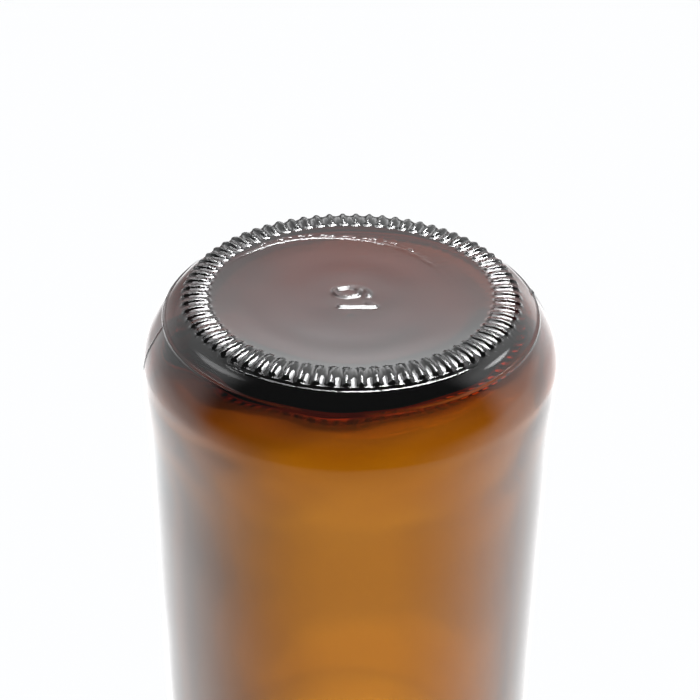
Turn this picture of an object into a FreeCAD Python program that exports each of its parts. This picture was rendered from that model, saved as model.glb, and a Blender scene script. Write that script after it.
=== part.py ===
import FreeCAD, Part
import os
import math
import Sketcher

# A round one-litre glass milk bottle with its paperboard disc closure.
# Upright frame: +Z from the base to the mouth, origin at the centre of the
# bearing ring that the bottle stands on.  Millimetres.

doc = FreeCAD.newDocument("milk_bottle")

# ---------------------------------------------------------------- dimensions
sheet = doc.addObject("Spreadsheet::Sheet", "dims")
DIMS = [
    # bottle, outside
    ("body_radius", 45.0),
    ("heel_top", 16.0),
    ("bearing_outer", 35.6),
    ("bearing_inner", 31.6),
    ("recess_radius", 29.6),
    ("recess_edge", 1.2),
    ("push_up", 3.0),
    ("shoulder_start", 148.0),
    ("shoulder_radius", 40.0),
    ("neck_sweep", 45.0),
    ("neck_radius", 22.5),
    ("lip_under", 233.0),
    ("lip_low", 236.5),
    ("lip_radius", 25.5),
    ("lip_round", 2.2),
    ("total_height", 250.0),
    # bottle, inside
    ("wall_thick", 3.6),
    ("floor_centre", 13.0),
    ("floor_edge_radius", 28.0),
    ("floor_edge", 11.8),
    ("inner_heel_top", 25.0),
    ("seat_radius", 20.8),
    ("seat_ledge", 244.0),
    ("mouth_round", 0.8),
    ("throat_round", 1.0),
    # closure
    ("disc_radius", 20.6),
    ("disc_thick", 1.2),
    ("disc_lift", 244.05),
    ("disc_round", 0.2),
    ("tab_width", 11.0),
    ("tab_thick", 0.4),
    ("root_back", 9.5),
    ("root_front", 1.0),
    ("crease_y", -0.6),
    ("flap_gap", 0.1),
    ("flap_length", 14.0),
    ("staple_y", -5.2),
    ("staple_half", 2.8),
    ("staple_bend", 0.35),
    ("wire_radius", 0.25),
    ("pierce_radius", 0.32),
    ("wire_gap", 0.02),
    ("clinch_end", 0.7),
]
VAL = {}
for row, (alias, value) in enumerate(DIMS, start=1):
    sheet.set("A%d" % row, alias)
    sheet.set("B%d" % row, "%.6g" % value)
    sheet.setAlias("B%d" % row, alias)
    VAL[alias] = value
doc.recompute()
V = FreeCAD.Vector


def plane(body, role):
    for item in body.Origin.OriginFeatures:
        if item.Role == role:
            return item
    raise RuntimeError("no origin plane " + role)


def new_body(label):
    body = doc.addObject("PartDesign::Body", label)
    body.Label = label
    return body


def new_sketch(body, name, role):
    sk = body.newObject("Sketcher::SketchObject", name)
    sk.AttachmentSupport = (plane(body, role), [""])
    sk.MapMode = "FlatFace"
    return sk


def bind(sk, constraint, name, expression):
    index = sk.addConstraint(constraint)
    sk.renameConstraint(index, name)
    sk.setExpression("Constraints." + name, expression)
    return index


def arc_through(centre, start, end):
    """Arc of a circle about centre, counter-clockwise from start to end."""
    a0 = math.atan2(start[1] - centre[1], start[0] - centre[0])
    a1 = math.atan2(end[1] - centre[1], end[0] - centre[0])
    if a1 < a0:
        a1 += 2 * math.pi
    r = math.hypot(start[0] - centre[0], start[1] - centre[1])
    circle = Part.Circle(V(centre[0], centre[1], 0), V(0, 0, 1), r)
    return Part.ArcOfCircle(circle, a0, a1)


def line(a, b):
    return Part.LineSegment(V(a[0], a[1], 0), V(b[0], b[1], 0))


# ------------------------------------------------------------- glass_bottle
# Half section in the XZ plane, turned once round the axis.  Sketch X is the
# radius and sketch Y the height.
d = VAL
bottle = new_body("glass_bottle")
sk = new_sketch(bottle, "bottle_section", "XZ_Plane")


def dome_centre(z0, r1, z1):
    """Centre on the axis of the arc from (0, z0) to (r1, z1)."""
    return (0.0, (r1 * r1 + z1 * z1 - z0 * z0) / (2.0 * (z1 - z0)))


def wall_round(r_wall, z_top, r_low, z_low):
    """Radius of the arc that ends upright at (r_wall, z_top)."""
    a, b = r_wall - r_low, z_top - z_low
    return (a * a + b * b) / (2.0 * a)


R = d["body_radius"]
RI = R - d["wall_thick"]
heel_r = wall_round(R, d["heel_top"], d["bearing_outer"], 0.0)
ih_r = wall_round(RI, d["inner_heel_top"], d["floor_edge_radius"], d["floor_edge"])
A = (R - d["shoulder_radius"], d["shoulder_start"])
Bx = d["neck_radius"] + d["neck_sweep"]
span = d["shoulder_radius"] + d["neck_sweep"]
neck_z = A[1] + math.sqrt(span ** 2 - (Bx - A[0]) ** 2)
B = (Bx, neck_z)
share = d["shoulder_radius"] / span
T_out = (A[0] + share * (B[0] - A[0]), A[1] + share * (B[1] - A[1]))
w = d["wall_thick"]
share_i = (d["shoulder_radius"] - w) / span
T_in = (A[0] + share_i * (B[0] - A[0]), A[1] + share_i * (B[1] - A[1]))
bore = d["neck_radius"] - w
top = d["total_height"]
lr, mr, tr = d["lip_round"], d["mouth_round"], d["throat_round"]

p0 = (0.0, d["push_up"])
p1 = (d["recess_radius"], d["recess_edge"])
p2 = (d["bearing_inner"], 0.0)
p3 = (d["bearing_outer"], 0.0)
p4 = (R, d["heel_top"])
p5 = (R, d["shoulder_start"])
p6 = T_out
p7 = (d["neck_radius"], neck_z)
p8 = (d["neck_radius"], d["lip_under"])
p9 = (d["lip_radius"], d["lip_low"])
p10 = (d["lip_radius"], top - lr)
p11 = (d["lip_radius"] - lr, top)
p12 = (d["seat_radius"] + mr, top)
p13 = (d["seat_radius"], top - mr)
p14 = (d["seat_radius"], d["seat_ledge"])
p15 = (bore + tr, d["seat_ledge"])
p16 = (bore, d["seat_ledge"] - tr)
p17 = (bore, neck_z)
p18 = T_in
p19 = (RI, d["shoulder_start"])
p20 = (RI, d["inner_heel_top"])
p21 = (d["floor_edge_radius"], d["floor_edge"])
p22 = (0.0, d["floor_centre"])

# (geometry, vertex at its sketch start, vertex at its sketch end)
c_push = dome_centre(d["push_up"], d["recess_radius"], d["recess_edge"])
c_floor = dome_centre(d["floor_centre"], d["floor_edge_radius"], d["floor_edge"])
c_heel = (R - heel_r, d["heel_top"])
c_ih = (RI - ih_r, d["inner_heel_top"])
EDGES = [
    ("push", arc_through(c_push, p1, p0), 1, 0),
    ("step", line(p1, p2), 1, 2),
    ("bearing", line(p2, p3), 2, 3),
    ("heel", arc_through(c_heel, p3, p4), 3, 4),
    ("body", line(p4, p5), 4, 5),
    ("shoulder", arc_through(A, p5, p6), 5, 6),
    ("sweep", arc_through(B, p7, p6), 7, 6),
    ("neck", line(p7, p8), 7, 8),
    ("underlip", line(p8, p9), 8, 9),
    ("land", line(p9, p10), 9, 10),
    ("liptop", arc_through((d["lip_radius"] - lr, top - lr), p10, p11), 10, 11),
    ("rim", line(p11, p12), 11, 12),
    ("mouth", arc_through((d["seat_radius"] + mr, top - mr), p12, p13), 12, 13),
    ("seat", line(p13, p14), 13, 14),
    ("ledge", line(p14, p15), 14, 15),
    ("throat", arc_through((bore + tr, d["seat_ledge"] - tr), p15, p16), 15, 16),
    ("bore", line(p16, p17), 16, 17),
    ("insweep", arc_through(B, p17, p18), 17, 18),
    ("inshoulder", arc_through(A, p19, p18), 19, 18),
    ("inwall", line(p19, p20), 19, 20),
    ("inheel", arc_through(c_ih, p21, p20), 21, 20),
    ("floor", arc_through(c_floor, p21, p22), 21, 22),
    ("axis_side", line(p22, p0), 22, 0),
]
ids = {}
ends = {}
for name, geo, va, vb in EDGES:
    gid = sk.addGeometry(geo, False)
    ids[name] = gid
    ends.setdefault(va, []).append((gid, 1))
    ends.setdefault(vb, []).append((gid, 2))
# vertices where the section runs on smoothly take a tangency instead
SMOOTH = (4, 5, 6, 7, 10, 11, 12, 13, 15, 16, 17, 18, 19, 20)
for vertex in sorted(ends):
    (g1, e1), (g2, e2) = ends[vertex]
    kind = "Tangent" if vertex in SMOOTH else "Coincident"
    sk.addConstraint(Sketcher.Constraint(kind, g1, e1, g2, e2))


def at(vertex):
    return ends[vertex][0]


def dim_x(vertex, name, expression, value):
    g, e = at(vertex)
    bind(sk, Sketcher.Constraint("DistanceX", -1, 1, g, e, value), name, expression)


def dim_y(vertex, name, expression, value):
    g, e = at(vertex)
    bind(sk, Sketcher.Constraint("DistanceY", -1, 1, g, e, value), name, expression)


def on_axis(vertex):
    g, e = at(vertex)
    sk.addConstraint(Sketcher.Constraint("PointOnObject", g, e, -2))


on_axis(0)
on_axis(22)
dim_y(0, "push_z", "dims.push_up", p0[1])
sk.addConstraint(Sketcher.Constraint("PointOnObject", ids["push"], 3, -2))
dim_x(1, "recess_r", "dims.recess_radius", p1[0])
dim_y(1, "recess_z", "dims.recess_edge", p1[1])
dim_x(2, "bear_in", "dims.bearing_inner", p2[0])
sk.addConstraint(Sketcher.Constraint("PointOnObject", at(2)[0], at(2)[1], -1))
dim_x(3, "bear_out", "dims.bearing_outer", p3[0])
sk.addConstraint(Sketcher.Constraint("Horizontal", ids["bearing"]))
dim_x(4, "body_r", "dims.body_radius", p4[0])
dim_y(4, "heel_z", "dims.heel_top", p4[1])
sk.addConstraint(Sketcher.Constraint("Vertical", ids["body"]))
dim_y(5, "shoulder_z", "dims.shoulder_start", p5[1])
bind(sk, Sketcher.Constraint("Radius", ids["shoulder"], d["shoulder_radius"]), "shoulder_r", "dims.shoulder_radius")
bind(sk, Sketcher.Constraint("Radius", ids["sweep"], d["neck_sweep"]), "sweep_r", "dims.neck_sweep")
dim_x(7, "neck_r", "dims.neck_radius", p7[0])
sk.addConstraint(Sketcher.Constraint("Vertical", ids["neck"]))
dim_y(8, "lipunder_z", "dims.lip_under", p8[1])
dim_x(9, "lip_r", "dims.lip_radius", p9[0])
dim_y(9, "liplow_z", "dims.lip_low", p9[1])
sk.addConstraint(Sketcher.Constraint("Vertical", ids["land"]))
bind(sk, Sketcher.Constraint("Radius", ids["liptop"], lr), "lipround_r", "dims.lip_round")
dim_y(12, "top_z", "dims.total_height", p12[1])
sk.addConstraint(Sketcher.Constraint("Horizontal", ids["rim"]))
bind(sk, Sketcher.Constraint("Radius", ids["mouth"], mr), "mouthround_r", "dims.mouth_round")
sk.addConstraint(Sketcher.Constraint("Vertical", ids["seat"]))
dim_x(14, "seat_r", "dims.seat_radius", p14[0])
dim_y(14, "ledge_z", "dims.seat_ledge", p14[1])
sk.addConstraint(Sketcher.Constraint("Horizontal", ids["ledge"]))
bind(sk, Sketcher.Constraint("Radius", ids["throat"], tr), "throatround_r", "dims.throat_round")
sk.addConstraint(Sketcher.Constraint("Vertical", ids["bore"]))
dim_x(17, "bore_r", "dims.neck_radius - dims.wall_thick", p17[0])
sk.addConstraint(Sketcher.Constraint("Coincident", ids["insweep"], 3, ids["sweep"], 3))
sk.addConstraint(Sketcher.Constraint("Coincident", ids["inshoulder"], 3, ids["shoulder"], 3))
sk.addConstraint(Sketcher.Constraint("Vertical", ids["inwall"]))
dim_y(20, "inheel_z", "dims.inner_heel_top", p20[1])
dim_x(21, "flooredge_r", "dims.floor_edge_radius", p21[0])
dim_y(21, "flooredge_z", "dims.floor_edge", p21[1])
dim_y(22, "floor_z", "dims.floor_centre", p22[1])
sk.addConstraint(Sketcher.Constraint("PointOnObject", ids["floor"], 3, -2))
doc.recompute()

turned = bottle.newObject("PartDesign::Revolution", "blown_glass")
turned.Profile = sk
turned.ReferenceAxis = (sk, ["V_Axis"])
turned.Angle = 360.0
bottle.Tip = turned
doc.recompute()

# ----------------------------------------------------------------- cap_disc
disc = new_body("cap_disc")
ds = new_sketch(disc, "disc_outline", "XY_Plane")
g = ds.addGeometry(Part.Circle(V(0, 0, 0), V(0, 0, 1), d["disc_radius"]), False)
ds.addConstraint(Sketcher.Constraint("Coincident", g, 3, -1, 1))
bind(ds, Sketcher.Constraint("Radius", g, d["disc_radius"]), "disc_r", "dims.disc_radius")
pad = disc.newObject("PartDesign::Pad", "disc_board")
pad.Profile = ds
pad.setExpression("Length", "dims.disc_thick")
doc.recompute()
rim = disc.newObject("PartDesign::Fillet", "disc_edge")
rim.Base = (pad, ["Edge%d" % (i + 1) for i, e in enumerate(pad.Shape.Edges) if len(e.Vertexes) == 1])
rim.setExpression("Radius", "dims.disc_round")
doc.recompute()


def pierce(body, name, length_expression):
    """Two holes for the staple's legs, right through the board."""
    hs = new_sketch(body, name + "_points", "XY_Plane")
    for k, side in enumerate((-1, 1)):
        gid = hs.addGeometry(
            Part.Circle(V(side * d["staple_half"], d["staple_y"], 0), V(0, 0, 1), d["pierce_radius"]), False
        )
        bind(hs, Sketcher.Constraint("Radius", gid, d["pierce_radius"]), "pierce_r%d" % k, "dims.pierce_radius")
        bind(
            hs,
            Sketcher.Constraint("DistanceX", -1, 1, gid, 3, side * d["staple_half"]),
            "leg_x%d" % k,
            "%d * dims.staple_half" % side,
        )
        bind(
            hs,
            Sketcher.Constraint("DistanceY", -1, 1, gid, 3, d["staple_y"]),
            "leg_y%d" % k,
            "dims.staple_y",
        )
    doc.recompute()
    before = body.Tip.Shape.Volume
    cut = body.newObject("PartDesign::Pocket", name)
    cut.Profile = hs
    cut.Reversed = True
    cut.setExpression("Length", length_expression)
    doc.recompute()
    removed = before - cut.Shape.Volume
    wanted = 2 * math.pi * d["pierce_radius"] ** 2
    if removed < 0.2 * wanted:
        cut.Reversed = False
        doc.recompute()
        removed = before - cut.Shape.Volume
    if removed < 0.2 * wanted:
        raise RuntimeError(name + " cuts nothing")
    return cut


pierce(disc, "disc_holes", "dims.disc_thick + 0.5")
disc.setExpression("Placement.Base.z", "dims.disc_lift")

# ----------------------------------------------------------------- tab_root
root = new_body("tab_root")
rs = new_sketch(root, "root_outline", "XY_Plane")
hw = d["tab_width"] / 2.0
y0, y1 = -d["root_back"], -d["root_front"]
corners = [(-hw, y0), (hw, y0), (hw, y1), (-hw, y1)]
gl = [rs.addGeometry(line(corners[i], corners[(i + 1) % 4]), False) for i in range(4)]
for i in range(4):
    rs.addConstraint(Sketcher.Constraint("Coincident", gl[i], 2, gl[(i + 1) % 4], 1))
rs.addConstraint(Sketcher.Constraint("Horizontal", gl[0]))
rs.addConstraint(Sketcher.Constraint("Horizontal", gl[2]))
rs.addConstraint(Sketcher.Constraint("Vertical", gl[1]))
rs.addConstraint(Sketcher.Constraint("Vertical", gl[3]))
bind(rs, Sketcher.Constraint("DistanceX", -1, 1, gl[1], 1, hw), "root_right", "dims.tab_width / 2")
bind(rs, Sketcher.Constraint("DistanceX", -1, 1, gl[3], 1, -hw), "root_left", "-dims.tab_width / 2")
bind(rs, Sketcher.Constraint("DistanceY", -1, 1, gl[0], 1, y0), "root_low", "-dims.root_back")
bind(rs, Sketcher.Constraint("DistanceY", -1, 1, gl[2], 1, y1), "root_high", "-dims.root_front")
rp = root.newObject("PartDesign::Pad", "root_paper")
rp.Profile = rs
rp.setExpression("Length", "dims.tab_thick")
doc.recompute()
rf = root.newObject("PartDesign::Fillet", "root_corners")
picked = []
for i, e in enumerate(rp.Shape.Edges):
    a, b = e.Vertexes[0].Point, e.Vertexes[-1].Point
    if abs(a.z - b.z) > 0.1 and a.y < -5:
        picked.append("Edge%d" % (i + 1))
rf.Base = (rp, picked)
rf.Radius = 1.5
doc.recompute()
pierce(root, "root_holes", "dims.tab_thick + 0.5")
root.setExpression("Placement.Base.z", "dims.disc_lift + dims.disc_thick")

# ----------------------------------------------------------------- pull_tab
# Free flap.  Its root edge is rounded about the crease line, so it turns in
# place above the disc.  Section in the YZ plane: sketch X is Y, sketch Y is Z.
flap = new_body("pull_tab")
fs = new_sketch(flap, "flap_outline", "XY_Plane")
L = d["flap_length"]
tip_r = hw
fl = [
    fs.addGeometry(line((-hw, 0), (hw, 0)), False),
    fs.addGeometry(line((hw, 0), (hw, L - tip_r)), False),
    fs.addGeometry(arc_through((0, L - tip_r), (hw, L - tip_r), (-hw, L - tip_r)), False),
    fs.addGeometry(line((-hw, L - tip_r), (-hw, 0)), False),
]
fs.addConstraint(Sketcher.Constraint("Coincident", fl[0], 2, fl[1], 1))
fs.addConstraint(Sketcher.Constraint("Tangent", fl[1], 2, fl[2], 1))
fs.addConstraint(Sketcher.Constraint("Tangent", fl[2], 2, fl[3], 1))
fs.addConstraint(Sketcher.Constraint("Coincident", fl[3], 2, fl[0], 1))
fs.addConstraint(Sketcher.Constraint("Horizontal", fl[0]))
fs.addConstraint(Sketcher.Constraint("Vertical", fl[1]))
fs.addConstraint(Sketcher.Constraint("Vertical", fl[3]))
fs.addConstraint(Sketcher.Constraint("PointOnObject", fl[0], 1, -1))
bind(fs, Sketcher.Constraint("DistanceX", -1, 1, fl[0], 2, hw), "flap_right", "dims.tab_width / 2")
bind(fs, Sketcher.Constraint("DistanceX", -1, 1, fl[0], 1, -hw), "flap_left", "-dims.tab_width / 2")
bind(fs, Sketcher.Constraint("DistanceY", -1, 1, fl[2], 3, L - tip_r), "flap_reach", "dims.flap_length - dims.tab_width / 2")
fp = flap.newObject("PartDesign::Pad", "flap_paper")
fp.Profile = fs
fp.setExpression("Length", "dims.tab_thick")
fp.Midplane = True
doc.recompute()
es = new_sketch(flap, "crease_section", "YZ_Plane")
ge = es.addGeometry(Part.Circle(V(0, 0, 0), V(0, 0, 1), d["tab_thick"] / 2), False)
es.addConstraint(Sketcher.Constraint("Coincident", ge, 3, -1, 1))
bind(es, Sketcher.Constraint("Radius", ge, d["tab_thick"] / 2), "crease_r", "dims.tab_thick / 2")
ep = flap.newObject("PartDesign::Pad", "crease_round")
ep.Profile = es
ep.setExpression("Length", "dims.tab_width")
ep.Midplane = True
doc.recompute()
flap.setExpression("Placement.Base.y", "dims.crease_y")
flap.setExpression(
    "Placement.Base.z", "dims.disc_lift + dims.disc_thick + dims.flap_gap + dims.tab_thick / 2"
)

# --------------------------------------------------------------- tab_staple
# One length of round wire: crown over the tab, two legs through the board,
# both ends clinched inwards under the disc.  Local Z is up from the disc's
# underside.
staple = new_body("tab_staple")
ps = new_sketch(staple, "wire_path", "XZ_Plane")
sh, sb = d["staple_half"], d["staple_bend"]
zc = d["disc_thick"] + d["tab_thick"] + d["wire_radius"] + d["wire_gap"]
zl = -(d["wire_radius"] + d["wire_gap"])
ce = d["clinch_end"]
path = [
    line((-ce, zl), (-sh + sb, zl)),
    arc_through((-sh + sb, zl + sb), (-sh, zl + sb), (-sh + sb, zl)),
    line((-sh, zl + sb), (-sh, zc - sb)),
    arc_through((-sh + sb, zc - sb), (-sh + sb, zc), (-sh, zc - sb)),
    line((-sh + sb, zc), (sh - sb, zc)),
    arc_through((sh - sb, zc - sb), (sh, zc - sb), (sh - sb, zc)),
    line((sh, zc - sb), (sh, zl + sb)),
    arc_through((sh - sb, zl + sb), (sh - sb, zl), (sh, zl + sb)),
    line((sh - sb, zl), (ce, zl)),
]
# sketch ends of each piece in the order of travel along the wire
way = [(1, 2), (2, 1), (1, 2), (2, 1), (1, 2), (2, 1), (1, 2), (2, 1), (1, 2)]
pg = [ps.addGeometry(item, False) for item in path]
for i in range(len(pg) - 1):
    ps.addConstraint(Sketcher.Constraint("Tangent", pg[i], way[i][1], pg[i + 1], way[i + 1][0]))
ps.addConstraint(Sketcher.Constraint("Horizontal", pg[0]))
ps.addConstraint(Sketcher.Constraint("Vertical", pg[2]))
ps.addConstraint(Sketcher.Constraint("Horizontal", pg[4]))
ps.addConstraint(Sketcher.Constraint("Vertical", pg[6]))
ps.addConstraint(Sketcher.Constraint("Horizontal", pg[8]))
for k, i in enumerate((1, 3, 5, 7)):
    bind(ps, Sketcher.Constraint("Radius", pg[i], sb), "bend_r%d" % k, "dims.staple_bend")
bind(ps, Sketcher.Constraint("DistanceX", -1, 1, pg[2], 1, -sh), "leg_left", "-dims.staple_half")
bind(ps, Sketcher.Constraint("DistanceX", -1, 1, pg[6], 1, sh), "leg_right", "dims.staple_half")
bind(ps, Sketcher.Constraint("DistanceY", -1, 1, pg[4], 1, zc), "crown_z", "dims.disc_thick + dims.tab_thick + dims.wire_radius + dims.wire_gap")
bind(ps, Sketcher.Constraint("DistanceY", -1, 1, pg[0], 1, zl), "clinch_z0", "-(dims.wire_radius + dims.wire_gap)")
bind(ps, Sketcher.Constraint("DistanceY", -1, 1, pg[8], 2, zl), "clinch_z1", "-(dims.wire_radius + dims.wire_gap)")
bind(ps, Sketcher.Constraint("DistanceX", -1, 1, pg[0], 1, -ce), "clinch_x0", "-dims.clinch_end")
bind(ps, Sketcher.Constraint("DistanceX", -1, 1, pg[8], 2, ce), "clinch_x1", "dims.clinch_end")
ws = new_sketch(staple, "wire_section", "YZ_Plane")
gw = ws.addGeometry(Part.Circle(V(0, zl, 0), V(0, 0, 1), d["wire_radius"]), False)
ws.addConstraint(Sketcher.Constraint("PointOnObject", gw, 3, -2))
bind(ws, Sketcher.Constraint("Radius", gw, d["wire_radius"]), "wire_r", "dims.wire_radius")
bind(ws, Sketcher.Constraint("DistanceY", -1, 1, gw, 3, zl), "wire_z", "-(dims.wire_radius + dims.wire_gap)")
ws.AttachmentOffset = FreeCAD.Placement(V(0, 0, -ce), FreeCAD.Rotation())
doc.recompute()
wire = staple.newObject("PartDesign::AdditivePipe", "bent_wire")
wire.Profile = ws
wire.Spine = ps
wire.Mode = "Standard"
wire.Transition = "Transformed"
staple.Tip = wire
doc.recompute()
staple.setExpression("Placement.Base.y", "dims.staple_y")
staple.setExpression("Placement.Base.z", "dims.disc_lift")
doc.recompute()

# ------------------------------------------------------------ check and write
bad = [o.Label for o in doc.Objects if "Invalid" in o.State or "Error" in o.State]
if bad:
    raise RuntimeError("failed objects: " + ", ".join(bad))
os.makedirs("parts", exist_ok=True)
nodes = [bottle, disc, root, flap, staple]
for node in nodes:
    shape = node.Shape
    if shape.isNull() or not shape.isValid() or len(shape.Solids) != 1:
        raise RuntimeError("bad shape: " + node.Label)
for node in nodes:
    node.Shape.exportStep("parts/%s.step" % node.Label)
    box = node.Shape.optimalBoundingBox(False, False)
    print(
        "%-13s volume %10.2f mm3  x %.2f..%.2f  y %.2f..%.2f  z %.2f..%.2f"
        % (node.Label, node.Shape.Volume, box.XMin, box.XMax, box.YMin, box.YMax, box.ZMin, box.ZMax)
    )
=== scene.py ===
import bpy
import math
import numpy as np
from mathutils import Matrix, Vector


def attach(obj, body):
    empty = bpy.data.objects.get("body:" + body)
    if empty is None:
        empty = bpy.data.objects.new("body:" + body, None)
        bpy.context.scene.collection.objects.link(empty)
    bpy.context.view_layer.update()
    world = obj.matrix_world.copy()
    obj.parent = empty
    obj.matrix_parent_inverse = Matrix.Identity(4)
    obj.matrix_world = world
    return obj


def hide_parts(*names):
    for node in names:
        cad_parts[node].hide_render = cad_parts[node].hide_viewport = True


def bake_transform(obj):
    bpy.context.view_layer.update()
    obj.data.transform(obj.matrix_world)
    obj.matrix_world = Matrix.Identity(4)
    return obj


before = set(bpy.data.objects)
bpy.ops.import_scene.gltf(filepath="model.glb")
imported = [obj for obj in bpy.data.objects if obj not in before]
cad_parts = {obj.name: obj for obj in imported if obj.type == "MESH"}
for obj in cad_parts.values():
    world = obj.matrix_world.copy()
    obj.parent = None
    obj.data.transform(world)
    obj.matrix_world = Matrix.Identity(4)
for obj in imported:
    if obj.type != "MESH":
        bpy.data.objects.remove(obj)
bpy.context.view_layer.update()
scene = bpy.context.scene
MM = 0.001

# ------------------------------------------------------------------ the frame
# The bottle stands upright in the shared frame.  The picture shows it turned
# over, base up, so "picture" directions are the frame's turned half a turn
# about Y: (x, y, z) -> (-x, y, -z).
RHO = 33.78 * 0.9885  # middle radius of the ribbed bearing ring, mm
N_RIB = 72


def flip(v):
    return Vector((-v[0], v[1], -v[2]))


# --------------------------------------------------------------------- camera
ELEV = math.radians(30.01)
DIST = 10.574 * RHO * MM
F_PX = 155.343 * 10.574
U0, V0, ROLL = 350.89, 288.21, -0.0099


def turn(v, k, a):
    k = k.normalized()
    return v * math.cos(a) + k.cross(v) * math.sin(a) + k * k.dot(v) * (1 - math.cos(a))


eye = Vector((0, -DIST * math.cos(ELEV), DIST * math.sin(ELEV)))
fwd = (-eye).normalized()
right = Vector((1, 0, 0))
up = right.cross(fwd)
ax, ay = math.atan((U0 - 350) / F_PX), math.atan((V0 - 350) / F_PX)
fwd, right = turn(fwd, up, ax), turn(right, up, ax)
fwd, up = turn(fwd, right, ay), turn(up, right, ay)
right, up = turn(right, fwd, ROLL), turn(up, fwd, ROLL)
eye, fwd, right, up = flip(eye), flip(fwd), flip(right), flip(up)
cam_data = bpy.data.cameras.new("main_camera")
cam = bpy.data.objects.new("main_camera", cam_data)
scene.collection.objects.link(cam)
cam_data.sensor_width = 36.0
cam_data.lens = F_PX * 36.0 / 700.0
cam_data.clip_start, cam_data.clip_end = 0.01, 50.0
m = Matrix((right, up, -fwd)).transposed().to_4x4()
m.translation = eye
cam.matrix_world = m
scene.camera = cam

# ---------------------------------------------------------------- small tools


def smooth(a, b, x):
    t = np.clip((x - a) / (b - a), 0.0, 1.0)
    return t * t * (3 - 2 * t)


def pchip(xs, ys, x):
    """Monotone cubic through the points."""
    xs, ys = np.asarray(xs, float), np.asarray(ys, float)
    h = np.diff(xs)
    d = np.diff(ys) / h
    m = np.zeros_like(xs)
    for i in range(1, len(xs) - 1):
        if d[i - 1] * d[i] > 0:
            w1, w2 = 2 * h[i] + h[i - 1], h[i] + 2 * h[i - 1]
            m[i] = (w1 + w2) / (w1 / d[i - 1] + w2 / d[i])
    m[0], m[-1] = d[0], d[-1]
    i = np.clip(np.searchsorted(xs, x) - 1, 0, len(xs) - 2)
    t = (x - xs[i]) / h[i]
    return (
        (2 * t**3 - 3 * t**2 + 1) * ys[i]
        + (t**3 - 2 * t**2 + t) * h[i] * m[i]
        + (-2 * t**3 + 3 * t**2) * ys[i + 1]
        + (t**3 - t**2) * h[i] * m[i + 1]
    )


def waves(seed, phi, s, n, k_lo, k_hi, s_lo, s_hi):
    """Smooth wobble round the bottle: phi the angle, s the length along it."""
    rng = np.random.RandomState(seed)
    total = np.zeros(np.broadcast(phi, s).shape)
    for _ in range(n):
        k = rng.randint(k_lo, k_hi + 1)
        w = 2 * math.pi / rng.uniform(s_lo, s_hi)
        total = total + rng.uniform(0.4, 1.0) * np.cos(
            k * phi + rng.choice((-1, 1)) * w * s + rng.uniform(0, 2 * math.pi)
        )
    return total / math.sqrt(n)


def link(obj):
    scene.collection.objects.link(obj)
    return obj


# ------------------------------------------------------- the glass, as a mesh
# One closed skin: base, heel, wall, shoulder, neck and lip outside, then the
# seat, throat and inside back down to the inner floor.  Columns run round the
# bottle; the ribbed base has all of them, the rest every fourth one and those
# beside the two mould seams.
N_FINE = 1280
phi_fine = np.arange(N_FINE) * 2 * math.pi / N_FINE
SEAM_PHI = math.radians(-11.0)
seam_col = [int(round((SEAM_PHI + k * math.pi) / (2 * math.pi) * N_FINE)) % N_FINE for k in (0, 1)]
coarse = set(range(0, N_FINE, 4))
for c in seam_col:
    coarse |= {(c + k) % N_FINE for k in range(-7, 8)}
COARSE = np.array(sorted(coarse))
FINE = np.arange(N_FINE)

BODY_R = 45.0
# section of the base and heel between the ribs: radius, height
BASE = [
    (0, 2.10), (8, 2.02), (16, 1.76), (22, 1.45), (26, 1.18), (28, 1.02), (29.4, 0.90), (30.4, 0.805),
    (31.2, 0.73), (32.0, 0.665), (32.8, 0.625), (33.6, 0.615), (34.3, 0.645), (34.9, 0.72), (35.5, 0.88),
    (36.1, 1.12), (36.8, 1.50), (37.8, 2.20), (38.9, 3.12), (40.0, 4.22), (40.9, 5.25), (42.0, 6.80),
    (43.2, 8.75), (44.4, 11.0), (45.15, 13.0), (45.55, 14.6), (45.75, 16.0),
]
SEAM_R = 40.9
HEEL_TOP = 16.0


def angle_gap(phi, centre):
    return (phi - centre + math.pi) % (2 * math.pi) - math.pi


# raised mould numbers: strokes in picture x (right) and y (away), mm
STROKES = []


def stroke(points):
    STROKES.append(np.array(points, float))


def glyph(points, cx, cy, size):
    """Points in a digit's own box: u across, v up.  The digit lies on its side."""
    stroke([(cx + v * size, cy - u * size) for u, v in points])


arc6 = [(0.27 * math.cos(t), -0.13 + 0.37 * math.sin(t)) for t in np.linspace(0, 2 * math.pi, 33)]
glyph(arc6, 0.0, 1.9, 7.4)
glyph([(-0.27, -0.1), (-0.24, 0.2), (-0.10, 0.40), (0.10, 0.50), (0.2, 0.5)], 0.0, 1.9, 7.4)
glyph([(0.0, -0.5), (0.0, 0.5), (-0.17, 0.30)], 1.3, -4.3, 7.4)


def digits(r, phi):
    x, y = -r * np.cos(phi), r * np.sin(phi)
    best = np.full(x.shape, 9.0)
    for line in STROKES:
        for (x0, y0), (x1, y1) in zip(line[:-1], line[1:]):
            dx, dy = x1 - x0, y1 - y0
            t = np.clip(((x - x0) * dx + (y - y0) * dy) / (dx * dx + dy * dy), 0, 1)
            best = np.minimum(best, np.hypot(x - x0 - t * dx, y - y0 - t * dy))
    return 0.40 * np.interp(best, [0, 0.18, 0.4, 0.62, 0.8, 1.0, 1.2], [1, 0.97, 0.78, 0.40, 0.17, 0.05, 0])


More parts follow.
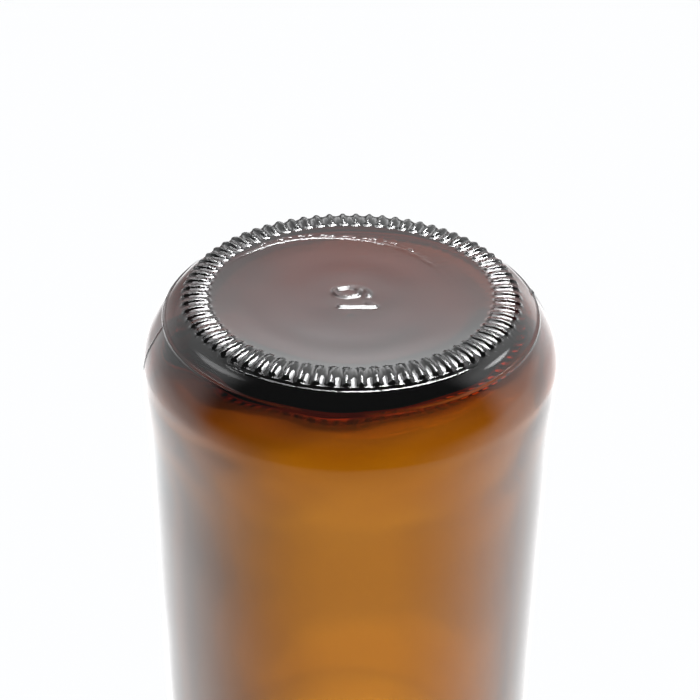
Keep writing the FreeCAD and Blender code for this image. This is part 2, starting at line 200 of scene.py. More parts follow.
def scar(r, phi):
    """Crinkled ring left by the blank mould, off the middle, on the far side."""
    x, y = -r * np.cos(phi) + 4.3, r * np.sin(phi) + 1.55
    rr, pp = np.hypot(x, y), np.arctan2(y, x)
    crinkle = 0.10 * np.sin(pp * 61 + 1.3) + 0.07 * np.sin(pp * 137) + 0.20 * np.sin(pp * 7 + 0.5)
    fade = smooth(0.45, 0.68, pp) * smooth(2.65, 2.2, pp)
    faint = 0.3 * smooth(-0.2, 0.2, pp) * smooth(2.9, 2.5, pp)
    d1 = (rr - 26.8 - 0.6 * crinkle) / 0.19
    d2 = (rr - 27.9 - 1.4 * crinkle) / 0.17
    out = 0.09 * np.exp(-d1 * d1) * np.maximum(fade, faint) * (1 + 0.25 * np.sin(pp * 83))
    patchy = np.clip(0.35 + 0.9 * np.sin(pp * 53 + 2.0) * np.sin(pp * 19 + 0.7), 0, 1)
    out += 0.09 * np.exp(-d2 * d2) * fade * patchy
    out += 0.02 * np.exp(-((rr - 27.4) / 0.5) ** 2) * fade * np.sin(rr * 17 + pp * 90) * np.sin(pp * 211)
    return out * smooth(30.1, 29.4, r)


# Ribs: round-backed bars with ball ends, lying outwards over the bearing ring;
# the hollows between them are wide and gently filleted.
RIB_IN, RIB_OUT, RIB_END = 31.75, 36.15, 37.0
RIB_PHASE = math.radians(-1.4)
RIB_H = 0.60
across = np.linspace(0.0, 1.6, 161)
steep = np.interp(across, [0, 0.30, 0.55, 0.68, 0.76, 0.84, 1.30, 1.47], [0, 0.40, 1.00, 1.25, 0.62, 0.38, 0.25, 0])
fall = np.concatenate([[0.0], np.cumsum(0.5 * (steep[1:] + steep[:-1]) * np.diff(across))])
bar = 1.0 - fall / fall[-1]


def ribs(s, r, phi):
    """Height over the hollows, along the normal."""
    pitch = 2 * math.pi / N_RIB
    k = np.floor((phi + RIB_PHASE) / pitch + 0.5)
    off = phi + RIB_PHASE - k * pitch
    uneven = 0.05 * np.sin(k * 2.4) + 0.04 * np.sin(k * 5.1 + 1)
    past = np.maximum(S_IN + uneven - s, s - S_OUT - 0.05 * np.sin(k * 1.9) - 0.04 * np.sin(k * 4.3))
    d = np.hypot(np.abs(off) * r, np.maximum(past, 0.0))
    taper = 0.76 + 0.24 * smooth(S_IN - 0.1, S_IN + 1.5, s)
    return RIB_H * taper * np.interp(d, across, bar)


def outer_base(r, phi):
    z = pchip(BASE_R, BASE_Z, r)
    z = z - digits(r, phi) * (r < 14) - scar(r, phi)
    z = z + 0.02 * waves(11, phi, r, 6, 0, 5, 9, 30) * smooth(30, 24, r)
    return np.maximum(z, 0.0)


BASE_R = [p[0] for p in BASE]
BASE_Z = [p[1] for p in BASE]
rings = []          # (columns, radius array, height array)


def add_ring(cols, r, z):
    phi = phi_fine[cols]
    rings.append((cols, np.broadcast_to(r, phi.shape).copy(), np.broadcast_to(z, phi.shape).copy()))


# base: middle, in coarse columns
for r in list(np.arange(0.25, 12.6, 0.16)) + list(np.arange(12.9, 23.6, 0.45)):
    add_ring(COARSE, r, outer_base(np.full(len(COARSE), r), phi_fine[COARSE]))
# rim of the recess, in fine columns
for r in np.arange(23.8, 30.05, 0.12):
    add_ring(FINE, r, outer_base(np.full(N_FINE, r), phi_fine))

# bearing ring and heel: along the section, pushed out along its normal
dense = np.concatenate([np.linspace(BASE_R[i], BASE_R[i + 1], 60, endpoint=False) for i in range(len(BASE_R) - 1)] + [[45.75]])
dense_z = pchip(BASE_R, BASE_Z, dense)
length = np.concatenate([[0], np.cumsum(np.hypot(np.diff(dense), np.diff(dense_z)))])


def section(s):
    """Point, normal out of the glass, at length s along the section."""
    r, z = np.interp(s, length, dense), np.interp(s, length, dense_z)
    h = 0.35
    r0, z0 = np.interp(s - h, length, dense), np.interp(s - h, length, dense_z)
    r1, z1 = np.interp(s + h, length, dense), np.interp(s + h, length, dense_z)
    n = math.hypot(r1 - r0, z1 - z0)
    return r, z, (z1 - z0) / n, -(r1 - r0) / n


S_IN = float(np.interp(RIB_IN, dense, length))
S_OUT = float(np.interp(RIB_OUT, dense, length))
S_END = float(np.interp(RIB_END, dense, length))
S_LINE = [float(np.interp(x, dense, length)) for x in (36.95, 37.70)]
S_SEAM = float(np.interp(SEAM_R, dense, length))
S_START = float(np.interp(30.15, dense, length))


def side_seam(phi, sigma):
    out = np.zeros_like(phi)
    for k in (0, 1):
        g = angle_gap(phi, SEAM_PHI + k * math.pi) * BODY_R
        out = np.maximum(out, np.exp(-(g / sigma) ** 2))
    return out


def heel_push(s, r, phi):
    """How far the skin stands off the plain section: ribs, base-plate seam, side seams."""
    t = s - S_SEAM - 0.05 * np.sin(phi * 3 + 0.4) - 0.03 * np.sin(phi * 11)
    ridge = (0.015 + 0.20 * np.abs(np.cos(phi)) ** 1.4) * np.exp(-((t / 0.34) ** 2)) - 0.02 * np.cos(phi) ** 2 * np.exp(-(((t + 0.75) / 0.4) ** 2))
    step = (0.03 + 0.09 * np.abs(np.cos(phi))) * smooth(-0.35, 0.35, t)
    flash = 0.30 * np.exp(-((t / 0.24) ** 2)) * np.exp(-((angle_gap(phi, SEAM_PHI + math.pi) * BODY_R / 1.2) ** 2))
    vert = 0.17 * side_seam(phi, 0.33) * smooth(-0.1, 0.6, t)
    wob = 0.03 * waves(12, phi, s, 6, 1, 6, 8, 30) * smooth(S_END, S_END + 2.0, s)
    # two turned lines of the mould plate, the outer one broken
    broken = np.clip(0.95 + 0.9 * np.sin(phi * 97) * np.sin(phi * 41 + 0.6), 0, 1)
    near = smooth(0.80, 0.62, np.abs(angle_gap(phi, -math.pi / 2)))
    lines = 0.075 * np.exp(-(((s - S_LINE[0]) / 0.18) ** 2)) + 0.10 * broken * np.exp(-(((s - S_LINE[1]) / 0.18) ** 2))
    lines = lines * near
    return ribs(s, r, phi) + ridge + step + flash + vert + wob + lines


stations = list(np.arange(S_START, S_LINE[0] - 0.3, 0.15))
stations += list(np.arange(S_LINE[0] - 0.24, S_LINE[1] + 0.3, 0.06))
stations += list(np.arange(stations[-1] + 0.3, S_SEAM - 1.3, 0.45))
stations += list(np.arange(S_SEAM - 1.1, S_SEAM + 1.2, 0.11))
stations += list(np.arange(S_SEAM + 1.5, length[-1] - 0.1, 0.5))
for st in stations:
    cols = FINE if st < S_SEAM + 1.4 else COARSE
    r, z, nr, nz = section(st)
    p = heel_push(st, r, phi_fine[cols])
    add_ring(cols, r + p * nr, np.maximum(z + p * nz, 0.0))

# wall, shoulder, neck and lip: the outline, resampled
SH_A, SH_R = (5.0, 148.0), 40.0
NK_R, NK_S = 22.5, 45.0
NK_B = (NK_R + NK_S, 148.0 + math.sqrt((SH_R + NK_S) ** 2 - (NK_R + NK_S - 5.0) ** 2))
turn_angle = math.atan2(NK_B[1] - SH_A[1], NK_B[0] - SH_A[0])
WALL = 3.6
THIN = 0.5             # the wall is thinner than nominal away from the base and the finish
FLOOR_Z = 13.0


def fuller(z):
    """How far the wall stands outside its nominal radius: full above the heel, slimmer to the shoulder."""
    return float(np.interp(z, FULL_Z, FULL)) - 0.62 * float(smooth(45.0, 147.0, z))


FULL_Z = np.linspace(16.0, 60.0, 89)
FULL = pchip([16.0, 18.0, 20.5, 24.0, 30.0, 37.0, 45.0, 60.0], [0.75, 0.88, 0.92, 0.86, 0.66, 0.49, 0.43, 0.42], FULL_Z)


def outline_outer():
    pts = []
    for z in np.linspace(16.6, 147.0, 62):
        pts.append((BODY_R + fuller(z), z))
    for t in np.linspace(0.0, turn_angle, 22):
        pts.append((SH_A[0] + (SH_R - 0.2 * math.cos(t)) * math.cos(t), SH_A[1] + SH_R * math.sin(t)))
    for t in np.linspace(turn_angle + math.pi, math.pi, 26)[1:]:
        pts.append((NK_B[0] + NK_S * math.cos(t), NK_B[1] + NK_S * math.sin(t)))
    for z in np.linspace(NK_B[1] + 1.5, 232.0, 14):
        pts.append((NK_R, z))
    # bead: a rounded step out to the lip land, then over the rim
    for t in np.linspace(0, 1, 9):
        pts.append((NK_R + 3.0 * float(smooth(0, 1, t)), 232.6 + 4.4 * t))
    for z in np.linspace(237.6, 247.4, 9):
        pts.append((25.5, z))
    for t in np.linspace(0, math.pi / 2, 9):
        pts.append((23.3 + 2.2 * math.cos(t), 247.8 + 2.2 * math.sin(t)))
    pts.append((22.4, 250.0))
    for t in np.linspace(math.pi / 2, math.pi, 7):
        pts.append((21.6 + 0.8 * math.cos(t), 249.2 + 0.8 * math.sin(t)))
    for z in np.linspace(248.4, 244.6, 7):
        pts.append((20.8, z))
    for t in np.linspace(0, math.pi / 2, 4):
        pts.append((20.5 + 0.3 * math.cos(t), 244.3 - 0.3 * math.sin(t)))
    for t in np.linspace(math.pi / 2, math.pi, 6):
        pts.append((19.9 + 1.0 * math.cos(t), 243.0 + 1.0 * math.sin(t)))
    for z in np.linspace(242.0, NK_B[1] + 1.0, 14):
        pts.append((NK_R - WALL + THIN * float(smooth(240.0, 214.0, z)), z))
    for t in np.linspace(math.pi, turn_angle + math.pi, 24):
        pts.append((NK_B[0] + (NK_S + WALL - THIN) * math.cos(t), NK_B[1] + (NK_S + WALL - THIN) * math.sin(t)))
    for t in np.linspace(turn_angle, 0.0, 20)[1:]:
        pts.append((SH_A[0] + (SH_R - WALL + THIN - 0.2 * math.cos(t)) * math.cos(t), SH_A[1] + (SH_R - WALL + THIN) * math.sin(t)))
    for z in np.linspace(146.0, FLOOR_Z + 11.0, 66):
        pts.append((BODY_R - WALL + THIN + fuller(max(z, 32.0)), z))
    fr, fz, r0, z0 = 30.0, FLOOR_Z - 1.2, BODY_R - WALL + THIN + fuller(34.0), FLOOR_Z + 10.0
    rad = ((r0 - fr) ** 2 + (z0 - fz) ** 2) / (2 * (r0 - fr))
    a1 = math.atan2(fz - z0, fr - (r0 - rad))
    for t in np.linspace(0.0, a1, 26):
        pts.append((r0 - rad + rad * math.cos(t), z0 + rad * math.sin(t)))
    for r in np.linspace(29.4, 0.4, 46):
        pts.append((r, FLOOR_Z - 1.2 * (r / 30.0) ** 2))
    return np.array(pts)


outline = outline_outer()
n_out = int(np.argmax(outline[:, 1] >= 249.9)) + 2
tangent = np.gradient(outline, axis=0)
normal = np.stack([tangent[:, 1], -tangent[:, 0]], 1)
normal /= np.linalg.norm(normal, axis=1)[:, None] + 1e-9
for i, (r, z) in enumerate(outline):
    phi = phi_fine[COARSE]
    if i < n_out:
        grow = smooth(16.0, 28.0, z)
        push = 0.045 * waves(21, phi, z, 9, 0, 6, 18, 70) * grow * smooth(236.0, 200.0, z)
        push = push + 0.05 * side_seam(phi, 0.45) * smooth(249.0, 246.0, z)
        inside = False
    else:
        depth = smooth(244.0, 200.0, z)
        push = 0.08 * waves(31, phi, z, 9, 0, 3, 40, 120) * depth
        push = push + 0.02 * waves(32, phi, z, 8, 3, 9, 14, 36) * depth
        low = smooth(60.0, 18.0, z)
        push = push + 0.10 * waves(33, phi, z + 0.5 * r, 7, 1, 5, 14, 40) * low
        push = push + 0.11 * waves(34, phi, z + 0.6 * r, 10, 4, 13, 7, 18) * smooth(38.0, 25.0, z) * smooth(24.0, 34.0, r)
        push = push * smooth(0.0, 8.0, r)
    tilt = 0.0
    if i >= n_out:
        tilt = -2.4 * np.maximum(np.sin(phi), 0) * r / 28.0 * smooth(30.0, 16.0, z) + 1.4 * smooth(22.0, 2.0, r) * smooth(30.0, 16.0, z)
        tilt = tilt - 2.0 * np.maximum(-np.sin(phi), 0) * smooth(24.0, 36.0, r) * smooth(34.0, 18.0, z)
        tilt = tilt - 2.5 * np.maximum(-np.cos(phi), 0) * smooth(24.0, 36.0, r) * smooth(34.0, 18.0, z)
        tilt = tilt + 2.6 * np.maximum(-np.sin(phi), 0) * smooth(0.0, 14.0, r) * smooth(30.0, 20.0, r) * smooth(34.0, 18.0, z)
    add_ring(COARSE, r + push * normal[i, 0], z + push * normal[i, 1] + tilt)


SCALE = 0.9885        # the base and heel, against the nominal section


def skin(rings, low_pole, high_pole):
    verts = [tuple(SCALE * c for c in low_pole)]
    starts = []
    for cols, r, z in rings:
        starts.append(len(verts))
        ph = phi_fine[cols]
        k = SCALE + (1 - SCALE) * smooth(40.0, 147.0, z)
        r, z = r * k, z * k
        lean = 0.2 * smooth(6.0, 26.0, z) * smooth(150.0, 90.0, z)
        verts.extend(np.stack([r * np.cos(ph) + lean, r * np.sin(ph), z], 1).tolist())
    verts.append(tuple(SCALE * c for c in high_pole))
    faces = []
    first, n = starts[0], len(rings[0][0])
    for j in range(n):
        faces.append((0, first + (j + 1) % n, first + j))
    for k in range(len(rings) - 1):
        ca, cb = rings[k][0], rings[k + 1][0]
        sa, sb = starts[k], starts[k + 1]
        if len(ca) == len(cb):
            n = len(ca)
            for j in range(n):
                j2 = (j + 1) % n
                faces.append((sa + j, sa + j2, sb + j2, sb + j))
        else:
            # between the two densities: strips that take in the extra points
            big_first = len(ca) > len(cb)
            cs, cl = (cb, ca) if big_first else (ca, cb)
            ss, sl = (sb, sa) if big_first else (sa, sb)
            place = {int(c): i for i, c in enumerate(cl)}
            for j in range(len(cs)):
                c0, c1 = int(cs[j]), int(cs[(j + 1) % len(cs)])
                run = []
                c = c0
                while True:
                    if c in place:
                        run.append(sl + place[c])
                    if c == c1:
                        break
                    c = (c + 1) % N_FINE
                p0, p1 = ss + j, ss + (j + 1) % len(cs)
                half = len(run) // 2
                for q in range(len(run) - 1):
                    corner = p0 if q < half else p1
                    tri = (run[q], run[q + 1], corner)
                    faces.append(tri if big_first else tri[::-1])
                tri = (run[half], p1, p0)
                faces.append(tri if big_first else tri[::-1])
    last, n = starts[-1], len(rings[-1][0])
    top = len(verts) - 1
    for j in range(n):
        faces.append((last + j, last + (j + 1) % n, top))
    return verts, faces


pole_low = (0.0, 0.0, float(outer_base(np.array([0.01]), np.array([0.0]))[0]))
pole_high = (0.0, 0.0, FLOOR_Z)
verts, faces = skin(rings, pole_low, pole_high)
mesh = bpy.data.meshes.new("glass_skin")
mesh.from_pydata((np.array(verts) * MM).tolist(), [], faces)
mesh.polygons.foreach_set("use_smooth", [True] * len(mesh.polygons))
mesh.update()
glass = link(bpy.data.objects.new("glass_bottle_skin", mesh))

# ------------------------------------------------------------------ materials


class Nodes:
    def __init__(self, tree):
        self.t = tree
        tree.nodes.clear()

    def new(self, kind, **props):
        node = self.t.nodes.new(kind)
        for k, v in props.items():
            setattr(node, k, v)
        return node

    def link(self, a, b):
        self.t.links.new(a, b)

    def math(self, op, a, b=None, c=None, clamp=False):
        node = self.new("ShaderNodeMath", operation=op, use_clamp=clamp)
        for i, v in enumerate((a, b, c)):
            if v is None:
                continue
            if isinstance(v, (int, float)):
                node.inputs[i].default_value = v
            else:
                self.link(v, node.inputs[i])
        return node.outputs[0]

    def ramp(self, x, lo, hi, out_lo=0.0, out_hi=1.0):
        node = self.new("ShaderNodeMapRange", interpolation_type="SMOOTHSTEP")
        for i, v in enumerate((x, lo, hi, out_lo, out_hi)):
            if isinstance(v, (int, float)):
                node.inputs[i].default_value = v
            else:
                self.link(v, node.inputs[i])
        return node.outputs[0]


def material(name):
    mat = bpy.data.materials.new(name)
    mat.use_nodes = True
    return mat, Nodes(mat.node_tree)


# amber glass: clear skin, colour taken from the depth of glass
amber, nd = material("amber_glass")
out = nd.new("ShaderNodeOutputMaterial")
bsdf = nd.new("ShaderNodeBsdfPrincipled")
bsdf.inputs["Base Color"].default_value = (1.0, 0.985, 0.96, 1)
bsdf.inputs["Transmission Weight"].default_value = 1.0
bsdf.inputs["IOR"].default_value = 1.52
tc = nd.new("ShaderNodeTexCoord")
fine_noise = nd.new("ShaderNodeTexNoise")
fine_noise.inputs["Scale"].default_value = 260.0
fine_noise.inputs["Detail"].default_value = 3.0
nd.link(tc.outputs["Object"], fine_noise.inputs["Vector"])
nd.link(nd.ramp(fine_noise.outputs["Fac"], 0.35, 0.75, 0.008, 0.03), bsdf.inputs["Roughness"])
bump = nd.new("ShaderNodeBump")
bump.inputs["Strength"].default_value = 0.02
bump.inputs["Distance"].default_value = 0.0002
nd.link(fine_noise.outputs["Fac"], bump.inputs["Height"])
nd.link(bump.outputs["Normal"], bsdf.inputs["Normal"])
vol = nd.new("ShaderNodeVolumeAbsorption")
vol.inputs["Color"].default_value = (0.803, 0.653, 0.0, 1)
vol.inputs["Density"].default_value = 1000.0
nd.link(bsdf.outputs["BSDF"], out.inputs["Surface"])
nd.link(vol.outputs["Volume"], out.inputs["Volume"])
glass.data.materials.append(amber)
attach(glass, "bottle")
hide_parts("glass_bottle")


# ---------------------------------------------------------------- the closure


def tidy(name, verts, faces, smooth_all=True):
    mesh = bpy.data.meshes.new(name)
    mesh.from_pydata((np.array(verts, float) * MM).tolist(), [], faces)
    mesh.polygons.foreach_set("use_smooth", [smooth_all] * len(mesh.polygons))
    mesh.update()
    return link(bpy.data.objects.new(name, mesh))


# paperboard disc: a pressed ring, a soft cut edge, slightly out of flat
DISC_Z, DISC_T, DISC_R = 244.05, 1.2, 20.6
DISC = [(r, 0.0) for r in np.arange(0.6, 14.0, 0.9)]
DISC += [(14.5, 0.0), (14.75, -0.02), (14.95, -0.09), (15.15, -0.16), (15.4, -0.18), (15.65, -0.16), (15.85, -0.09), (16.05, -0.02), (16.3, 0.0)]
DISC += [(r, 0.0) for r in np.arange(16.9, 19.3, 0.6)] + [(19.6, -0.01), (20.0, -0.04), (20.25, -0.09), (20.42, -0.17), (20.53, -0.28), (20.58, -0.42)]
DISC += [(20.6, -0.6), (20.58, -0.8), (20.52, -0.95), (20.4, -1.07), (20.2, -1.15), (19.9, -1.19), (19.4, -1.2)]
DISC += [(r, -1.2) for r in np.arange(18.4, 0.5, -1.4)]
n_disc = 192
ph = np.arange(n_disc) * 2 * math.pi / n_disc
disc_verts, disc_faces = [(0.0, 0.0, DISC_Z + DISC_T)], []
for r, dz in DISC:
    clear = smooth(6.2, 8.5, np.abs(r * np.cos(ph)))
    warp = 0.028 * waves(41, ph, r, 5, 1, 3, 20, 60) * clear * smooth(2.0, 9.0, r)
    frayed = 0.012 * waves(42, ph, dz * 3, 9, 9, 40, 1, 4) * smooth(20.3, 20.6, r)
    rad = r - np.abs(frayed)
    disc_verts += np.stack([rad * np.cos(ph), rad * np.sin(ph), DISC_Z + DISC_T + dz + warp], 1).tolist()
disc_verts.append((0.0, 0.0, DISC_Z))
for j in range(n_disc):
    j2 = (j + 1) % n_disc
    disc_faces.append((0, 1 + j, 1 + j2))
    for k in range(len(DISC) - 1):
        p, q = 1 + k * n_disc, 1 + (k + 1) * n_disc
        disc_faces.append((p + j, q + j, q + j2, p + j2))
    p = 1 + (len(DISC) - 1) * n_disc
    disc_faces.append((p + j, len(disc_verts) - 1, p + j2))
disc = tidy("cap_disc_board", disc_verts, disc_faces)

# paper strip: a stapled root and a free flap, folded at one crease
TAB_HW, TAB_T, CREASE = 5.5, 0.4, -0.6
tab_y = np.concatenate([
    [-9.5, -9.46, -9.35, -9.15, -8.85, -8.45], np.arange(-8.0, -1.7, 0.45), np.arange(-1.5, 0.35, 0.09),
    np.arange(0.6, 7.8, 0.45), 7.9 + 5.5 * np.sin(np.linspace(0.05, 1.49, 22)),
])
tab_u = np.sin(np.linspace(-1.45, 1.45, 25)) / math.sin(1.45)


def tab_half(y):
    if y < -8.0:
        return TAB_HW - 1.5 + math.sqrt(max(1.5 ** 2 - (-8.0 - y) ** 2, 0.0))
    if y > 7.9:
        return math.sqrt(max(TAB_HW ** 2 - (y - 7.9) ** 2, 0.0))
    return TAB_HW


def tab_mid(x, y):
    z = 245.45 + 0.1 * float(smooth(-1.3, -0.5, y))
    z += 0.55 * float(smooth(3.0, 14.5, y)) ** 2 + 0.03 * math.sin(x * 0.9 + 0.4) * float(smooth(1.0, 8.0, y))
    return z


def tab_skins(x, y):
    z = tab_mid(x, y)
    groove = 0.07 * math.exp(-(((y - CREASE) / 0.16) ** 2))
    dent = 0.05 * math.exp(-(((y + 5.2) / 0.5) ** 2)) * float(smooth(3.3, 2.4, abs(x)))
    return z + TAB_T / 2 - groove - dent, z - TAB_T / 2 + 0.3 * groove


rows, cols = len(tab_y), len(tab_u)
tab_verts, tab_faces = [], []
for side in (0, 1):
    for y in tab_y:
        for u in tab_u:
            x = u * max(tab_half(y), 0.4)
            tab_verts.append((x, y, tab_skins(x, y)[side]))
for j in range(rows - 1):
    for i in range(cols - 1):
        p = j * cols + i
        tab_faces.append((p, p + 1, p + cols + 1, p + cols))
        p += rows * cols
        tab_faces.append((p, p + cols, p + cols + 1, p + 1))
loop = [i for i in range(cols)] + [j * cols + cols - 1 for j in range(1, rows)]
loop += [(rows - 1) * cols + i for i in range(cols - 2, -1, -1)] + [j * cols for j in range(rows - 2, 0, -1)]
edge = np.array([tab_verts[k] for k in loop])
low = np.array([tab_verts[k + rows * cols] for k in loop])
along = np.roll(edge, -1, 0) - np.roll(edge, 1, 0)
away = np.stack([along[:, 1], -along[:, 0], 0 * along[:, 0]], 1)
away /= np.linalg.norm(away, axis=1)[:, None]
first = len(tab_verts)
tab_verts += ((edge + low) / 2 + 0.06 * away).tolist()
for k in range(len(loop)):
    k2 = (k + 1) % len(loop)
    tab_faces.append((loop[k2], loop[k], first + k, first + k2))
    tab_faces.append((first + k2, first + k, loop[k] + rows * cols, loop[k2] + rows * cols))
tab = tidy("tab_paper_strip", tab_verts, tab_faces)

# staple: one length of round wire, crown over the tab, ends clinched under the disc
ST_H, ST_B, ST_R, ST_Y = 2.8, 0.35, 0.25, -5.2
z_low, z_top = DISC_Z - 0.27, DISC_Z + 1.87
way = [(-0.7, z_low), (-1.4, z_low)]


def bend(cx, cz, a0, a1):
    for a in np.linspace(math.radians(a0), math.radians(a1), 9):
        way.append((cx + ST_B * math.cos(a), cz + ST_B * math.sin(a)))


bend(-ST_H + ST_B, z_low + ST_B, 270, 180)
way.append((-ST_H, 0.5 * (z_low + z_top)))
bend(-ST_H + ST_B, z_top - ST_B, 180, 90)
way += [(x, z_top) for x in (-1.2, 0.0, 1.2)]
bend(ST_H - ST_B, z_top - ST_B, 90, 0)
way.append((ST_H, 0.5 * (z_low + z_top)))
bend(ST_H - ST_B, z_low + ST_B, 0, -90)
way += [(1.4, z_low), (0.7, z_low)]
way = np.array(way)
dirs = np.gradient(way, axis=0)
dirs /= np.linalg.norm(dirs, axis=1)[:, None]
n_wire = 16
st_verts, st_faces = [], []
stops = [(0, -0.10, 0.55), (0, -0.06, 0.85)] + [(k, 0.0, 1.0) for k in range(len(way))] + [(len(way) - 1, 0.06, 0.85), (len(way) - 1, 0.10, 0.55)]
for k, ahead, size in stops:
    c, t = way[k] + ahead * dirs[k], dirs[k]
    for q in range(n_wire):
        a = 2 * math.pi * q / n_wire
        o = ST_R * size
        st_verts.append((c[0] - t[1] * o * math.cos(a), ST_Y + o * math.sin(a), c[1] + t[0] * o * math.cos(a)))
for k in range(len(stops) - 1):
    for q in range(n_wire):
        q2 = (q + 1) % n_wire
        st_faces.append((k * n_wire + q, k * n_wire + q2, (k + 1) * n_wire + q2, (k + 1) * n_wire + q))
st_faces.append(tuple(range(n_wire))[::-1])
st_faces.append(tuple((len(stops) - 1) * n_wire + q for q in range(n_wire)))
staple = tidy("tab_staple_wire", st_verts, st_faces)


def board(name, colour, dark, speck, scale, rough, edge_from=None, coat=0.0):
    """Pressed pulp: drawn-out fibres, stray dark specks, broad stains."""
    mat, nd = material(name)
    out = nd.new("ShaderNodeOutputMaterial")
    bsdf = nd.new("ShaderNodeBsdfPrincipled")
    tc = nd.new("ShaderNodeTexCoord")

    def noise(size, detail, stretch, twist):
        mp = nd.new("ShaderNodeMapping")
        mp.inputs["Scale"].default_value = stretch
        mp.inputs["Rotation"].default_value = (0.0, 0.0, twist)
        nd.link(tc.outputs["Object"], mp.inputs["Vector"])
        n = nd.new("ShaderNodeTexNoise")
        n.inputs["Scale"].default_value = size
        n.inputs["Detail"].default_value = detail
        n.inputs["Distortion"].default_value = 1.2
        nd.link(mp.outputs[0], n.inputs["Vector"])
        return n.outputs["Fac"]

    def mix(fac, a, b):
        m = nd.new("ShaderNodeMix", data_type="RGBA")
        nd.link(fac, m.inputs[0])
        for i, v in ((6, a), (7, b)):
            if isinstance(v, tuple):
                m.inputs[i].default_value = (*v, 1)
            else:
                nd.link(v, m.inputs[i])
        return m.outputs[2]

    fibre = noise(scale, 5.0, (0.25, 1.0, 1.0), 0.5)
    cross = noise(scale * 0.8, 5.0, (1.0, 0.22, 1.0), 0.2)
    stain = noise(90.0, 3.0, (1.0, 1.0, 1.0), 0.0)
    dots = noise(scale * 1.7, 1.0, (1.0, 0.6, 1.0), 1.0)
    both = nd.math("MULTIPLY_ADD", nd.math("ADD", fibre, cross), 0.5, 0.0)
    shade = mix(nd.ramp(both, 0.36, 0.62), dark, colour)
    shade = mix(nd.ramp(stain, 0.45, 0.75, 0.0, 0.45), shade, dark)
    shade = mix(nd.ramp(dots, 0.71, 0.76, 0.0, 0.8), shade, speck)
    if edge_from is not None:
        sep = nd.new("ShaderNodeSeparateXYZ")
        nd.link(tc.outputs["Object"], sep.inputs[0])
        rr = nd.math("SQRT", nd.math("ADD", nd.math("MULTIPLY", sep.outputs[0], sep.outputs[0]), nd.math("MULTIPLY", sep.outputs[1], sep.outputs[1])))
        shade = mix(nd.ramp(rr, edge_from * MM, (edge_from + 0.45) * MM, 0.0, 0.7), shade, speck)
    nd.link(shade, bsdf.inputs["Base Color"])
    nd.link(nd.ramp(both, 0.3, 0.7, rough + 0.1, rough - 0.1), bsdf.inputs["Roughness"])
    bsdf.inputs["Coat Weight"].default_value = coat
    bsdf.inputs["Coat Roughness"].default_value = 0.28
    bump = nd.new("ShaderNodeBump")
    bump.inputs["Strength"].default_value = 0.35
    bump.inputs["Distance"].default_value = 0.0001
    nd.link(both, bump.inputs["Height"])
    nd.link(bump.outputs["Normal"], bsdf.inputs["Normal"])
    nd.link(bsdf.outputs["BSDF"], out.inputs["Surface"])
    return mat


waxed = board("waxed_board", (0.72, 0.65, 0.51), (0.58, 0.50, 0.36), (0.34, 0.26, 0.16), 700.0, 0.50, edge_from=20.1, coat=0.35)
paper = board("tab_paper", (0.66, 0.52, 0.34), (0.52, 0.39, 0.23), (0.30, 0.21, 0.12), 1100.0, 0.72)

wire, nd = material("staple_wire")
out = nd.new("ShaderNodeOutputMaterial")
bsdf = nd.new("ShaderNodeBsdfPrincipled")
tc = nd.new("ShaderNodeTexCoord")
mp = nd.new("ShaderNodeMapping")
mp.inputs["Scale"].default_value = (0.15, 1.0, 1.0)
nd.link(tc.outputs["Object"], mp.inputs["Vector"])
drawn = nd.new("ShaderNodeTexNoise")
drawn.inputs["Scale"].default_value = 6000.0
drawn.inputs["Detail"].default_value = 4.0
nd.link(mp.outputs[0], drawn.inputs["Vector"])
tint = nd.new("ShaderNodeMix", data_type="RGBA")
tint.inputs[6].default_value = (0.50, 0.49, 0.48, 1)
tint.inputs[7].default_value = (0.74, 0.74, 0.75, 1)
nd.link(nd.ramp(drawn.outputs["Fac"], 0.35, 0.65), tint.inputs[0])
nd.link(tint.outputs[2], bsdf.inputs["Base Color"])
bsdf.inputs["Metallic"].default_value = 1.0
nd.link(nd.ramp(drawn.outputs["Fac"], 0.3, 0.7, 0.38, 0.22), bsdf.inputs["Roughness"])
nd.link(bsdf.outputs["BSDF"], out.inputs["Surface"])

for piece, mat, nodes, slot in (
    (disc, waxed, ("cap_disc",), "waxed_board"),
    (tab, paper, ("tab_root", "pull_tab"), "tab_paper"),
    (staple, wire, ("tab_staple",), "staple_wire"),
):
    piece.data.materials.append(mat)
    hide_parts(*nodes)
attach(disc, "cap")
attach(staple, "cap")
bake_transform(tab)

# ---------------------------------------------------------------------- stage
# pale floor under the upright bottle; it shows from above only
floor_mesh = bpy.data.meshes.new("floor")
S = 1.6
floor_mesh.from_pydata([(-S, -S, 0), (S, -S, 0), (S, S, 0), (-S, S, 0)], [], [(0, 1, 2, 3)])
floor = link(bpy.data.objects.new("floor", floor_mesh))
floor.location.z = -0.0002
fmat, nd = material("pale_floor")
out = nd.new("ShaderNodeOutputMaterial")
diff = nd.new("ShaderNodeBsdfDiffuse")
diff.inputs["Color"].default_value = (0.80, 0.80, 0.79, 1)
clear = nd.new("ShaderNodeBsdfTransparent")
mixs = nd.new("ShaderNodeMixShader")
geo = nd.new("ShaderNodeNewGeometry")
nd.link(geo.outputs["Backfacing"], mixs.inputs[0])
nd.link(diff.outputs[0], mixs.inputs[1])
nd.link(clear.outputs[0], mixs.inputs[2])
nd.link(mixs.outputs[0], out.inputs["Surface"])
floor_mesh.materials.append(fmat)
for flag in ("visible_diffuse", "visible_glossy", "visible_transmission", "visible_shadow", "visible_volume_scatter"):
    setattr(floor, flag, False)

